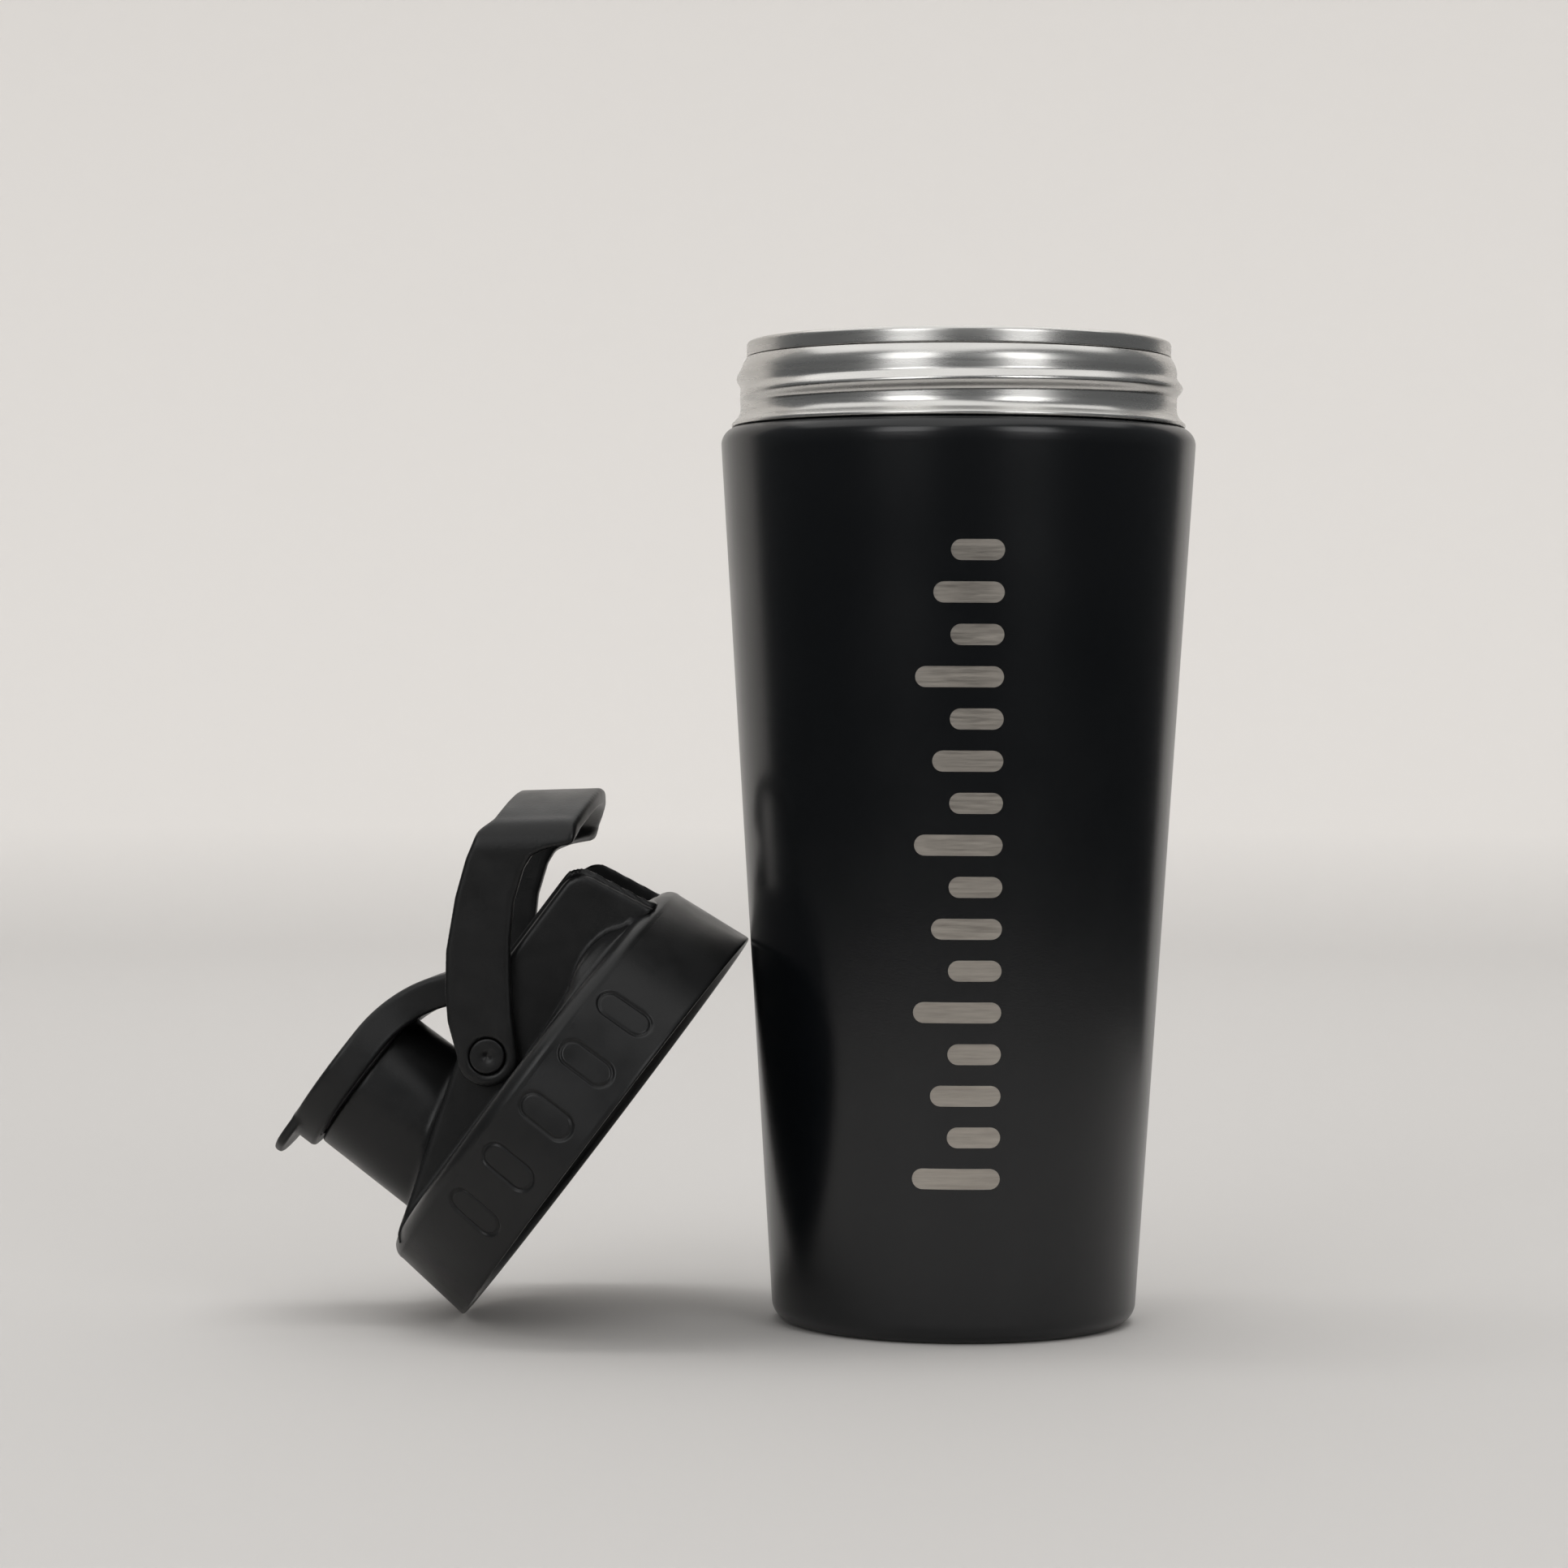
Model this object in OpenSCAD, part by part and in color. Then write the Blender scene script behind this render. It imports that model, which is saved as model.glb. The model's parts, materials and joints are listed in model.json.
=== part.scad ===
// Insulated steel shaker bottle standing open, with its screw lid leaning against its left side.
// Frame: millimetres, +Z up, origin at the centre of the bottle's foot, -Y is the front.

/* [Bottle] */
// Radius of the body at the shoulder
shoulder_r = 46; // [44:0.5:48]
// Radius of the body just above the foot
foot_r = 35.4; // [34:0.2:38]
// Height of the shoulder above the table
shoulder_h = 173.5; // [165:0.5:182]
// Height of the drinking lip above the table
lip_h = 190; // [186:0.5:198]
// Thickness of the outer wall
outer_wall = 0.6; // [0.5:0.1:0.9]
// Thickness of the liner
liner_wall = 0.6; // [0.5:0.1:0.8]
// Width of the vacuum space between the walls
vacuum_gap = 2.6; // [2:0.1:3]

/* [Neck] */
// Radius of the neck beside the thread
neck_r = 42.3; // [42.2:0.05:42.4]
// How far the rolled thread stands out of the neck
thread_rise = 1.15; // [0.8:0.05:1.15]
// Rise of the thread in one turn
thread_pitch = 3.6; // [3.4:0.1:4]
// Turns of thread on the neck
thread_turns = 1.08; // [1:0.02:1.2]
// Radius of the straight wall inside the mouth
mouth_r = 39.2; // [38.6:0.1:39.4]
// Outer radius of the rolled lip
lip_r = 41.15; // [40.8:0.05:41.4]

/* [Lid] */
// Radius of the lid at its rim
rim_r = 46; // [45.5:0.1:46.5]
// Height of the lid's skirt
skirt_h = 19.3; // [18.5:0.1:20]
// Radius of the wall inside the skirt
skirt_bore_r = 43.6; // [43.6:0.05:43.7]
// Grip recesses on each side of the skirt
grips_per_side = 5; // [3:1:7]
// Angle from one grip recess to the next
grip_pitch = 15.6; // [15:0.1:17]
// Half the distance across the two cheeks
cheek_y = 20; // [19.5:0.1:20]
// Outer radius of the spout
spout_r = 15; // [14.5:0.1:15.2]
// Distance of the spout from the lid's axis
spout_x = 21; // [20.5:0.1:21.5]
// Height of the spout's edge above the rim
spout_h = 43; // [42.6:0.1:43.1]

/* [Flip cap and handle] */
// Height of the closed flip cap's top above the rim
cap_top = 49.6; // [49.4:0.1:49.8]
// Width of the flip cap's arm
cap_arm_w = 24; // [20:1:26]
// Height of the handle's pivot above the rim
pivot_z = 25.8; // [25.6:0.1:26]
// Thickness of the handle's arms
arm_t = 3.9; // [3.5:0.1:4]
// How far the middle of the crossbar bows outwards
bow = 8.5; // [7:0.5:9]

/* [Place of the lid] */
// Lean of the lid's axis from upright
lean = 53.2; // [53:0.1:53.6]
// Turn of the leaning lid about the vertical
yaw = -3.2; // [-4:0.1:0]
// Turn of the lid about its own axis
lid_roll = 1.2; // [0:0.1:2]
// Distance from the bottle's axis to the middle of the lid's rim
lid_distance = 67.9; // [67.8:0.1:70]

/* [Hidden] */
$fn = 96;

// Bottle
foot_round = 4;
shoulder_round = 3.5;
taper_low = foot_round;
taper_high = shoulder_h - shoulder_round;
liner_floor = 9;
liner_round = 4;
lip_band_h = 3;
neck_foot = shoulder_h - 1.2;
neck_top = lip_h - lip_band_h - 0.05;
neck_wall = 0.6;
flare_h = 2.9;
flare_round = 3;
flare_low = shoulder_h + 0.6;
thread_half_w = 2.1;
thread_start = 175;
thread_low = shoulder_h + 5.75;
cover_r = foot_r - foot_round - 0.3;

// Lid, in its own frame: rim plane at z = 0, spout towards -X, handle's crossbar towards +X
roof_t = 2.4;
roof_under = skirt_h - roof_t;
pivot_x = -0.5;
pin_r = 3.35;
pin_neck_r = 2.2;
hinge_x = 12;
hinge_z = 25.2;
hinge_pin_r = 1.5;
running = 0.06;
arc_x = -12.9;
arc_z = 21.1;
arc_r = cap_top - arc_z;
cap_depth = 6.3;
cap_head_r = 17;
cheek_t = 2.8;
channel_y = cheek_y - cheek_t;
channel_x = -5.6;
arm_in = cheek_y + 0.6;
arm_out = arm_in + arm_t;
arm_end_r = 5.8;
bar_t = 3.4;
bar_top = [33.9, 26.6];
bar_low = [44.4, 13.5];
bow_rise = 1.2;
corner_r = 7.5;
lid_z = rim_r * sin(lean) + 0.15;

function wall_r(z) = foot_r + (shoulder_r - foot_r) * (z - taper_low) / (taper_high - taper_low);
function liner_r(z) = wall_r(z) - outer_wall - vacuum_gap;
// Points of an arc, both ends included
function arc(cx, cy, r, a0, a1, n) = [for (i = [0:n]) let (a = a0 + (a1 - a0) * i / n)
    [cx + r * cos(a), cy + r * sin(a)]];
function back(points) = [for (i = [len(points) - 1:-1:0]) points[i]];

// Puts a lid part, drawn in the lid's own frame, where the lid leans
module at_lid() {
    rotate([0, 0, yaw])
        translate([-lid_distance, 0, lid_z])
            rotate([0, -lean, 0])
                rotate([0, 0, lid_roll])
                    children();
}

// Side outline drawn with x across the lid and y as height, given a width across the lid
module across(width) {
    rotate([90, 0, 0])
        translate([0, 0, -width / 2])
            linear_extrude(height = width)
                children();
}

// ---- Bottle ----

// Tapered outer wall, round at the shoulder and at the foot
module outer_shell() {
    w = outer_wall;
    outside = concat(
        arc(foot_r - foot_round, foot_round, foot_round, -84, 0, 8),
        arc(shoulder_r - shoulder_round, taper_high, shoulder_round, 0, 90, 10),
        [[neck_r + 0.05, shoulder_h]]);
    inside = concat(
        arc(foot_r - foot_round, foot_round, foot_round - w, -84, 0, 8),
        arc(shoulder_r - shoulder_round, taper_high, shoulder_round - w, 0, 90, 10),
        [[neck_r + 0.05, shoulder_h - w]]);
    color([0.06, 0.065, 0.075])
        rotate_extrude()
            polygon(concat(outside, back(inside)));
}

// Height of the thread's middle after some turns
function thread_z(turns) = thread_low + thread_pitch * turns;
// Share of the full thread after some turns: it runs in and out over a ninth of a turn
function thread_fade(turns) = max(0, min(1, turns / 0.11, (thread_turns - turns) / 0.11));
// Rounded ridge across the thread
function ridge(d) = abs(d) > thread_half_w ? 0 : 0.5 + 0.5 * cos(180 * d / thread_half_w);
// How far the neck flares out at a depth below the flare's top: a hollow curve, then a slope
function flare(d) = d < 0 ? 0 : d < 0.707 * flare_round ? flare_round - sqrt(flare_round * flare_round - d * d)
    : 0.293 * flare_round + d - 0.707 * flare_round;
// How far the neck draws in under the lip
function draw_in(z) = let (u = max(0, (z - neck_top + 3.2) / 3.2)) (neck_r - lip_r + 0.05) * u * u;
// Radius of the neck at an angle and height
function neck_at(a, z) = neck_r + flare(flare_low + flare_h - z) - draw_in(z)
    + thread_rise * max([for (k = [0:1]) let (t = k + (a - thread_start) / 360)
        t < 0 || t > thread_turns ? 0 : thread_fade(t) * ridge(z - thread_z(t))]);

// Brushed neck that flares out onto the shoulder, with the thread rolled into it
module threaded_neck() {
    steps = 72;
    levels = [for (i = [0:22]) flare_low + (neck_top - flare_low) * i / 22];
    // One ring of points: inside foot, outside foot, under the flare, the outside levels, then the inside top
    function column(a) = concat(
        [[neck_r - neck_wall, neck_foot], [neck_r, neck_foot], [neck_r, shoulder_h + 0.12],
        [shoulder_r - shoulder_round, shoulder_h + 0.12], [neck_at(a, flare_low), shoulder_h - 0.1]],
        [for (z = levels) [neck_at(a, z), z]],
        [[lip_r - 0.05 - neck_wall, neck_top]]);
    columns = [for (s = [0:steps - 1]) column(thread_start + 360 * (s - 1) / steps)];
    n = len(columns[0]);
    points = [for (s = [0:steps - 1], p = columns[s]) let (a = thread_start + 360 * (s - 1) / steps)
        [p[0] * cos(a), p[0] * sin(a), p[1]]];
    faces = [for (s = [0:steps - 1], i = [0:n - 1])
        let (t = (s + 1) % steps, j = (i + 1) % n) [s * n + i, s * n + j, t * n + j, t * n + i]];
    color([0.75, 0.75, 0.74])
        polyhedron(points = points, faces = faces);
}

// Steel liner, from its weld above the pressed bottom up to the rolled lip
module inner_vessel() {
    w = liner_wall;
    low = liner_floor + liner_round;
    high = shoulder_h - 6;
    outside = concat(
        [[liner_r(low), low], [liner_r(high), high], [mouth_r + w, shoulder_h + 1]],
        [[mouth_r + w, lip_h - lip_band_h], [lip_r, lip_h - lip_band_h]],
        arc(lip_r - 1, lip_h - 1, 1, 0, 90, 5),
        arc(mouth_r + 0.5, lip_h - 0.5, 0.5, 90, 180, 4));
    inside = [[mouth_r, shoulder_h + 1], [liner_r(high) - w, high], [liner_r(low) - w, low]];
    color([0.72, 0.72, 0.72])
        rotate_extrude()
            polygon(concat(outside, inside));
}

// Pressed bottom of the liner
module inner_bottom() {
    w = liner_wall;
    low = liner_floor + liner_round;
    r = liner_r(low);
    color([0.68, 0.68, 0.69])
        rotate_extrude()
            polygon(concat(
                [[0, liner_floor], [r - liner_round, liner_floor]],
                arc(r - liner_round, low, liner_round, -90, 0, 8),
                back(arc(r - liner_round, low, liner_round - w, -90, 0, 8)),
                [[0, liner_floor + w]]));
}

// Pressed base that closes the vacuum space
module vacuum_base() {
    r = foot_r - foot_round;
    color([0.6, 0.6, 0.62])
        rotate_extrude()
            polygon([[0, 3.4], [6, 3.4], [8, 2.4], [r - 0.3, 2.4], [r - 0.3, 3.2], [8.4, 3.2], [6.4, 4.2],
                [0, 4.2]]);
}

// Solder bead under the evacuation hole
module vacuum_seal() {
    color([0.5, 0.5, 0.48])
        translate([0, 0, 2.3])
            cylinder(r = 2.4, h = 1.1);
}

// Getter pellet under the liner
module getter() {
    color([0.4, 0.38, 0.36])
        translate([0, 0, liner_floor - 2.2])
            cylinder(r = 6, h = 2.2);
}

// Bottom disc that the bottle stands on, with a fine groove near its edge
module base_cover() {
    color([0.1, 0.1, 0.11])
        rotate_extrude()
            polygon([[0, 0], [cover_r - 5, 0], [cover_r - 4.6, 0.4], [cover_r - 4.2, 0], [cover_r - 0.6, 0],
                [cover_r, 0.6], [cover_r, 2.3], [0, 2.3]]);
}

// ---- Lid ----

// Flat stadium outline, one end radius and one overall length
module stadium(r, length) {
    reach = length / 2 - r;
    polygon(concat(arc(reach, 0, r, -90, 90, 12), arc(-reach, 0, r, 90, 270, 12)));
}

// Side outline of the raised housing, up to a given inset
module housing_side(inset) {
    polygon(concat(
        [[-38.2 + 2 * inset, skirt_h - 0.5 - 4 * inset], [-37.2 + 1.6 * inset, skirt_h - inset]],
        [[8.2 + 0.3 * inset, 34.8 - inset]],
        arc(35 - inset, 30.4 - inset, 4.4, 90, 10, 6),
        [[41 - inset, skirt_h - 0.5 - 4 * inset]]));
}

// Ledge beside one cheek that the folded handle's arm rests on: side is -1 or 1
module arm_ledge(side) {
    width = 22;
    intersection() {
        translate([0, side * (cheek_y - 1 + width / 2), 0])
            across(width)
                polygon(concat([[8, skirt_h - 1], [10, skirt_h + 0.3]], arc(27, 9, 13.4, 118, 47, 8),
                    [[38.5, skirt_h - 1]]));
        cylinder(r = rim_r - 3.6, h = 40);
    }
}

// Outside of the skirt and the roof
module skirt_outside() {
    rotate_extrude()
        polygon(concat([[0, 0], [rim_r - 0.4, 0], [rim_r, 0.5]],
            arc(rim_r - 4.6, skirt_h - 3.2, 3.1, 5, 90, 8),
            [[0, skirt_h]]));
}

// Round screw lid with its housing, cheeks and spout, moulded in one
module lid_shell() {
    spout_bore = spout_r - 2.2;
    at_lid()
        color([0.12, 0.12, 0.125])
            difference() {
                union() {
                    skirt_outside();
                    across(2 * cheek_y)
                        housing_side(0);
                    arm_ledge(-1);
                    arm_ledge(1);
                    translate([-spout_x, 0, skirt_h])
                        cylinder(r = spout_r, h = spout_h - skirt_h);
                }
                // Inside of the skirt
                translate([0, 0, -1])
                    cylinder(r = skirt_bore_r, h = roof_under + 1);
                // Spout
                translate([-spout_x, 0, roof_under - 1])
                    cylinder(r = spout_bore, h = 40);
                // Open channel behind the spout for the flip cap's arm
                translate([channel_x, -channel_y, skirt_h])
                    cube([60, 2 * channel_y, 30]);
                // Hollow under the sloping roof
                intersection() {
                    across(2 * channel_y)
                        housing_side(roof_t);
                    translate([-40, -channel_y, 0])
                        cube([40 + channel_x - roof_t, 2 * channel_y, 40]);
                }
                // Grip recesses
                for (side = [-90, 90], i = [0:grips_per_side - 1])
                    rotate([0, 0, side + (i - (grips_per_side - 1) / 2) * grip_pitch])
                        translate([rim_r - 1.2, 0, 9.2])
                            rotate([0, 90 - 4, 0])
                                linear_extrude(height = 4)
                                    stadium(3, 12);
                // Pivot holes for the handle's pins and the flip cap's hinge pin
                translate([pivot_x, 0, pivot_z])
                    rotate([90, 0, 0])
                        cylinder(r = pin_neck_r, h = 4 * cheek_y, center = true);
                translate([hinge_x, 0, hinge_z])
                    rotate([90, 0, 0])
                        cylinder(r = hinge_pin_r, h = 2 * cheek_y - 2, center = true);
            }
}

// Thread ridge inside the skirt
module lid_thread() {
    steps = 60;
    turns = 1.5;
    // Corners of the ridge's section at one step: depth into the lid, and height
    function section(f) =
        let (d = max(0.04, min(1, f * 8, (1 - f) * 8)) * 0.75, z = 3.4 + thread_pitch * turns * f)
        [[skirt_bore_r + 0.25, z - 1.1], [skirt_bore_r - d, z - 0.4], [skirt_bore_r - d, z + 0.4],
        [skirt_bore_r + 0.25, z + 1.1]];
    points = [for (s = [0:steps], p = section(s / steps)) let (a = 360 * turns * s / steps)
        [p[0] * cos(a), p[0] * sin(a), p[1]]];
    sides = [for (s = [0:steps - 1], i = [0:3]) let (j = (i + 1) % 4)
        [s * 4 + i, s * 4 + j, (s + 1) * 4 + j, (s + 1) * 4 + i]];
    at_lid()
        color([0.12, 0.12, 0.125])
            polyhedron(points = points, faces = concat(sides, [[3, 2, 1, 0], [for (i = [0:3]) steps * 4 + i]]));
}

// Silicone ring that the lip presses on
module lid_gasket() {
    at_lid()
        color([0.3, 0.3, 0.3])
            translate([0, 0, roof_under - 2.8])
                rotate_extrude()
                    polygon([[38.4, 0.4], [38.8, 0], [42.2, 0], [42.6, 0.4], [42.6, 2.5], [38.4, 2.5]]);
}

// Snap-in grid that breaks up lumps of powder
module mixing_grid() {
    r = 37;
    cell = 8.5;
    bar = 2;
    at_lid()
        color([0.16, 0.16, 0.165])
            translate([0, 0, roof_under - 3.6])
                union() {
                    linear_extrude(height = 1.6)
                        difference() {
                            circle(r = r);
                            for (i = [-3:3], j = [-3:3])
                                if (norm([i, j]) * (cell + bar) < r - 6)
                                    translate([i * (cell + bar), j * (cell + bar)])
                                        square(cell, center = true);
                        }
                    // Snap wall up to the roof
                    difference() {
                        cylinder(r = r, h = 3.6);
                        translate([0, 0, -1])
                            cylinder(r = r - 1.6, h = 6);
                    }
                }
}

// Steel pin through the flip cap's barrel, held in the cheeks
module cap_hinge_pin() {
    at_lid()
        color([0.7, 0.7, 0.7])
            translate([hinge_x, 0, hinge_z])
                rotate([90, 0, 0])
                    cylinder(r = hinge_pin_r, h = 2 * cheek_y - 2, center = true);
}

// Headed pin that the handle's arm turns on: side is -1 at the front and 1 at the rear
module handle_pin(side) {
    head_h = 2;
    at_lid()
        color([0.14, 0.14, 0.145])
            translate([pivot_x, side * arm_out, pivot_z])
                rotate([side * 90, 0, 0])
                    difference() {
                        union() {
                            cylinder(r = pin_r, h = head_h);
                            cylinder(r = pin_neck_r, h = arm_out - channel_y);
                        }
                        translate([0, 0, -1])
                            cylinder(r = 0.5, h = 1.3, $fn = 24);
                    }
}

module handle_pin_front() {
    handle_pin(-1);
}

module handle_pin_rear() {
    handle_pin(1);
}

// Side outline of the flip cap: a flat top that curves down to the hinge
module cap_side(depth) {
    polygon(concat(
        [[-spout_x - 20, cap_top - depth], [-spout_x - 20, cap_top]],
        arc(arc_x, arc_z, arc_r, 90, 4, 14),
        back(arc(arc_x, arc_z, arc_r - depth, 90, 4, 14))));
}

// Hinged cap with its thumb tab, hollow over the spout's seal
module flip_cap() {
    seal_r = 14.3;
    at_lid()
        color([0.12, 0.12, 0.125])
            difference() {
                union() {
                    // Head over the spout and the arm behind it
                    intersection() {
                        across(60)
                            cap_side(cap_depth);
                        union() {
                            translate([-spout_x, 0, 0])
                                cylinder(r = cap_head_r, h = 60);
                            translate([-spout_x + 6, -cap_arm_w / 2, 0])
                                cube([60, cap_arm_w, 60]);
                        }
                    }
                    // Thumb tab
                    intersection() {
                        across(60)
                            cap_side(1.9);
                        translate([-spout_x - 7, 0, 0])
                            cylinder(r = 15, h = 60);
                    }
                    // Hinge barrel
                    translate([hinge_x, 0, hinge_z])
                        rotate([90, 0, 0])
                            cylinder(r = 4, h = cap_arm_w, center = true);
                }
                translate([hinge_x, 0, hinge_z])
                    rotate([90, 0, 0])
                        cylinder(r = hinge_pin_r + running, h = 80, center = true);
                translate([-spout_x, 0, cap_top - cap_depth - 10])
                    cylinder(r = seal_r, h = 12.2);
                // Relief over the spout's edge
                translate([-spout_x, 0, cap_top - cap_depth - 10])
                    cylinder(r = spout_r + 0.5, h = 10.2);
            }
}

// Silicone seal pressed into the flip cap, with a cone that enters the spout
module spout_seal() {
    floor_z = cap_top - cap_depth + 0.1;
    at_lid()
        color([0.3, 0.3, 0.3])
            translate([-spout_x, 0, 0])
                rotate_extrude()
                    polygon([[0, floor_z - 2.4], [9.6, floor_z - 2.4], [12, floor_z], [14.3, floor_z],
                        [14.3, floor_z + 2.1], [0, floor_z + 2.1]]);
}

// Side outline of one handle arm, from the pivot at the origin to the crossbar's two corners
module arm_side() {
    polygon(concat(
        arc(0, 0, arm_end_r, -58, -232, 12),
        [[0.6, 10], [5.1, 14], [11.2, 18.4], [20.4, 23.2], [27.5, 26], [31.4, 27]],
        arc(32.6, 25.3, 1.9, 90, 38, 4),
        arc(42.2, 14.6, 1.2, 38, -90, 5),
        [[38.8, 15.4], [35.7, 16.4], [32.7, 16.1], [26.5, 13.8], [20.4, 10.1], [14.3, 5.4], [8.9, 0.9]]));
}

// Crossbar between the arms: its section stands on the line between the arms' two corners, and bows
// outwards towards the middle of the loop
module crossbar() {
    steps = 24;
    along = (bar_low - bar_top) / norm(bar_low - bar_top);
    inwards = [along[1], -along[0]] * bar_t;
    section = [bar_top, bar_low, bar_low + inwards, bar_top + inwards];
    points = [for (s = [0:steps], p = section) let (y = arm_out * (2 * s / steps - 1))
        let (share = 1 - pow(y / arm_out, 2))
            [p[0] + bow * share, y, p[1] + bow_rise * share]];
    sides = [for (s = [0:steps - 1], i = [0:3]) let (j = (i + 1) % 4)
        [s * 4 + i, (s + 1) * 4 + i, (s + 1) * 4 + j, s * 4 + j]];
    polyhedron(points = points, faces = concat(sides, [[0, 1, 2, 3], [for (i = [3:-1:0]) steps * 4 + i]]));
}

// What is cut away where the arms' outer sides roll over into the crossbar
module corner_rolls() {
    slope = atan(1.74 * bow / arm_out);
    reach = corner_r * tan((90 - slope) / 2);
    half = concat([[arm_out + 1, -reach]], arc(arm_out - corner_r, -reach, corner_r, 0, 91.5 - slope, 8),
        [[arm_out - 1.4 * reach, 12]]);
    other = [for (i = [len(half) - 1:-1:0]) [-half[i][0], half[i][1]]];
    translate([bar_top[0], 0, bar_top[1]])
        rotate([0, atan2(bar_top[1] - bar_low[1], bar_low[0] - bar_top[0]), 0])
            rotate([90, 0, 90])
                translate([0, 0, -8])
                    linear_extrude(height = 34)
                        polygon(concat(half, other, [[-arm_out - 1, 14], [arm_out + 1, 14]]));
}

// Carry loop: two arms joined by a bowed crossbar, raised above its folded place
module carry_handle() {
    at_lid()
        color([0.12, 0.12, 0.125])
            translate([pivot_x, 0, pivot_z])
                difference() {
                    union() {
                        for (side = [-1, 1])
                            translate([0, side * (arm_in + arm_t / 2), 0])
                                across(arm_t)
                                    arm_side();
                        crossbar();
                    }
                    corner_rolls();
                    for (side = [-1, 1])
                        translate([0, side * arm_out, 0])
                            rotate([side * 90, 0, 0]) {
                                translate([0, 0, -1])
                                    cylinder(r = pin_r + running, h = 3 + running);
                                cylinder(r = pin_neck_r + running, h = 10);
                            }
                }
}

outer_shell();
threaded_neck();
inner_vessel();
inner_bottom();
vacuum_base();
vacuum_seal();
getter();
base_cover();
lid_gasket();
lid_shell();
lid_thread();
mixing_grid();
cap_hinge_pin();
handle_pin_front();
handle_pin_rear();
flip_cap();
spout_seal();
carry_handle();
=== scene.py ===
"""Insulated shaker bottle with its lid leaning beside it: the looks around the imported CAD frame.

Shapes are worked out in millimetres in the bottle's frame or in the lid's own frame (rim plane at
z = 0, spout towards -x, handle towards +x), and go to metres when their mesh is made.
"""

import json
import math

import bmesh
import bpy
import numpy as np
from mathutils import Matrix, Vector


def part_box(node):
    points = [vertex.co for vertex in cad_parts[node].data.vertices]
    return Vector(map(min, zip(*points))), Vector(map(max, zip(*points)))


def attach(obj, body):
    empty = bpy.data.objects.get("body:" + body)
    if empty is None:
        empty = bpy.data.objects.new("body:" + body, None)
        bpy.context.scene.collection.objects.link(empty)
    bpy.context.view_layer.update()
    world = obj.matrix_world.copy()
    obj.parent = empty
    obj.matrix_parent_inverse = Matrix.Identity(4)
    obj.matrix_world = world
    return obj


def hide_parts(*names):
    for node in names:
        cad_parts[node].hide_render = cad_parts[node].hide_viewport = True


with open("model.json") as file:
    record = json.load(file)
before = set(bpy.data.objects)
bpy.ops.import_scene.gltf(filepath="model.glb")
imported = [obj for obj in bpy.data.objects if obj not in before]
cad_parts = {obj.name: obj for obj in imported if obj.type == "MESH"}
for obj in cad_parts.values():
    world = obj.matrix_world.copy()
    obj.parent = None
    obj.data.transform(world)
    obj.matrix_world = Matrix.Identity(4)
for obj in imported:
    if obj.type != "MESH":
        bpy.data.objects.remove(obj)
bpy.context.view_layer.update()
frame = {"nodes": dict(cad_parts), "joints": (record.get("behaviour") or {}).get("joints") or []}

MM = 0.001
JOINTS = {j["name"]: j for j in frame["joints"]}


# ---------------------------------------------------------------- frames

def node_top(node):
    """Highest point of a CAD node, in millimetres."""
    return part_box(node)[1].z / MM


def node_radius(node):
    """Half the width of a CAD node across X, in millimetres."""
    low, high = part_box(node)
    return (high.x - low.x) / 2 / MM


def lid_matrix():
    """Matrix from the lid's own frame in millimetres to the row frame in metres."""
    up = Vector(JOINTS["lid_twist"]["axis"]).normalized()
    across = Vector(JOINTS["cap_flip"]["axis"]).normalized()
    along = across.cross(up)
    place = Vector(JOINTS["lid_twist"]["pos_m"])
    turn = Matrix((along, across, up)).transposed().to_4x4()
    return Matrix.Translation(place) @ turn @ Matrix.Scale(MM, 4)


LID = lid_matrix()
BOTTLE = Matrix.Scale(MM, 4)


def in_lid(point):
    """A row-frame point in metres, in the lid's own frame in millimetres."""
    return LID.inverted() @ Vector(point)


# ---------------------------------------------------------------- dimensions, in millimetres

SHOULDER_R = node_radius("outer_shell")
SHOULDER_H = node_top("outer_shell")
LIP_H = node_top("inner_vessel")
FOOT_R = 35.4
FOOT_ROUND = 4.0
SHOULDER_ROUND = 3.5
OUTER_WALL = 0.6
LINER_WALL = 0.6
VACUUM_GAP = 2.6
NECK_R = 42.3
NECK_FOOT = SHOULDER_H - 1.2
NECK_WALL = 0.6
THREAD_RISE = 1.15
THREAD_PITCH = 3.6
THREAD_TURNS = 1.08
THREAD_START = math.radians(175)
THREAD_LOW = SHOULDER_H + 5.75
THREAD_HALF_W = 2.1
LIP_R = 41.15
LIP_BAND_H = 3.0
MOUTH_R = 39.2
LINER_FLOOR = 9.0
LINER_ROUND = 4.0

RIM_R = 46.0
SKIRT_H = 19.3
SKIRT_BORE_R = 43.6
ROOF_UNDER = 16.9
GRIP_PITCH = 15.6
CHEEK_Y = 20.0
CHANNEL_Y = 17.2
CHANNEL_X = -5.6
SPOUT_X = 21.0
SPOUT_R = 15.0
SPOUT_H = 43.0
CAP_TOP = 49.6
CAP_DEPTH = 6.3
CAP_HEAD_R = 17.0
CAP_ARM_W = 24.0
ARC_X = -12.9
ARC_Z = 21.1
HINGE = in_lid(JOINTS["cap_flip"]["pos_m"])
PIVOT = in_lid(JOINTS["handle_swing"]["pos_m"])
ARM_IN = 20.6
ARM_T = 3.9
ARM_OUT = ARM_IN + ARM_T
PIN_R = 3.35
BOW = 8.5
BOW_RISE = 1.2
BAR_ROLL = 7.5


def wall_r(z):
    """Outer radius of the tapered body at a height."""
    high = SHOULDER_H - SHOULDER_ROUND
    return FOOT_R + (SHOULDER_R - FOOT_R) * (z - FOOT_ROUND) / (high - FOOT_ROUND)


def liner_r(z):
    """Outer radius of the liner at a height."""
    return wall_r(z) - OUTER_WALL - VACUUM_GAP


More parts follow.
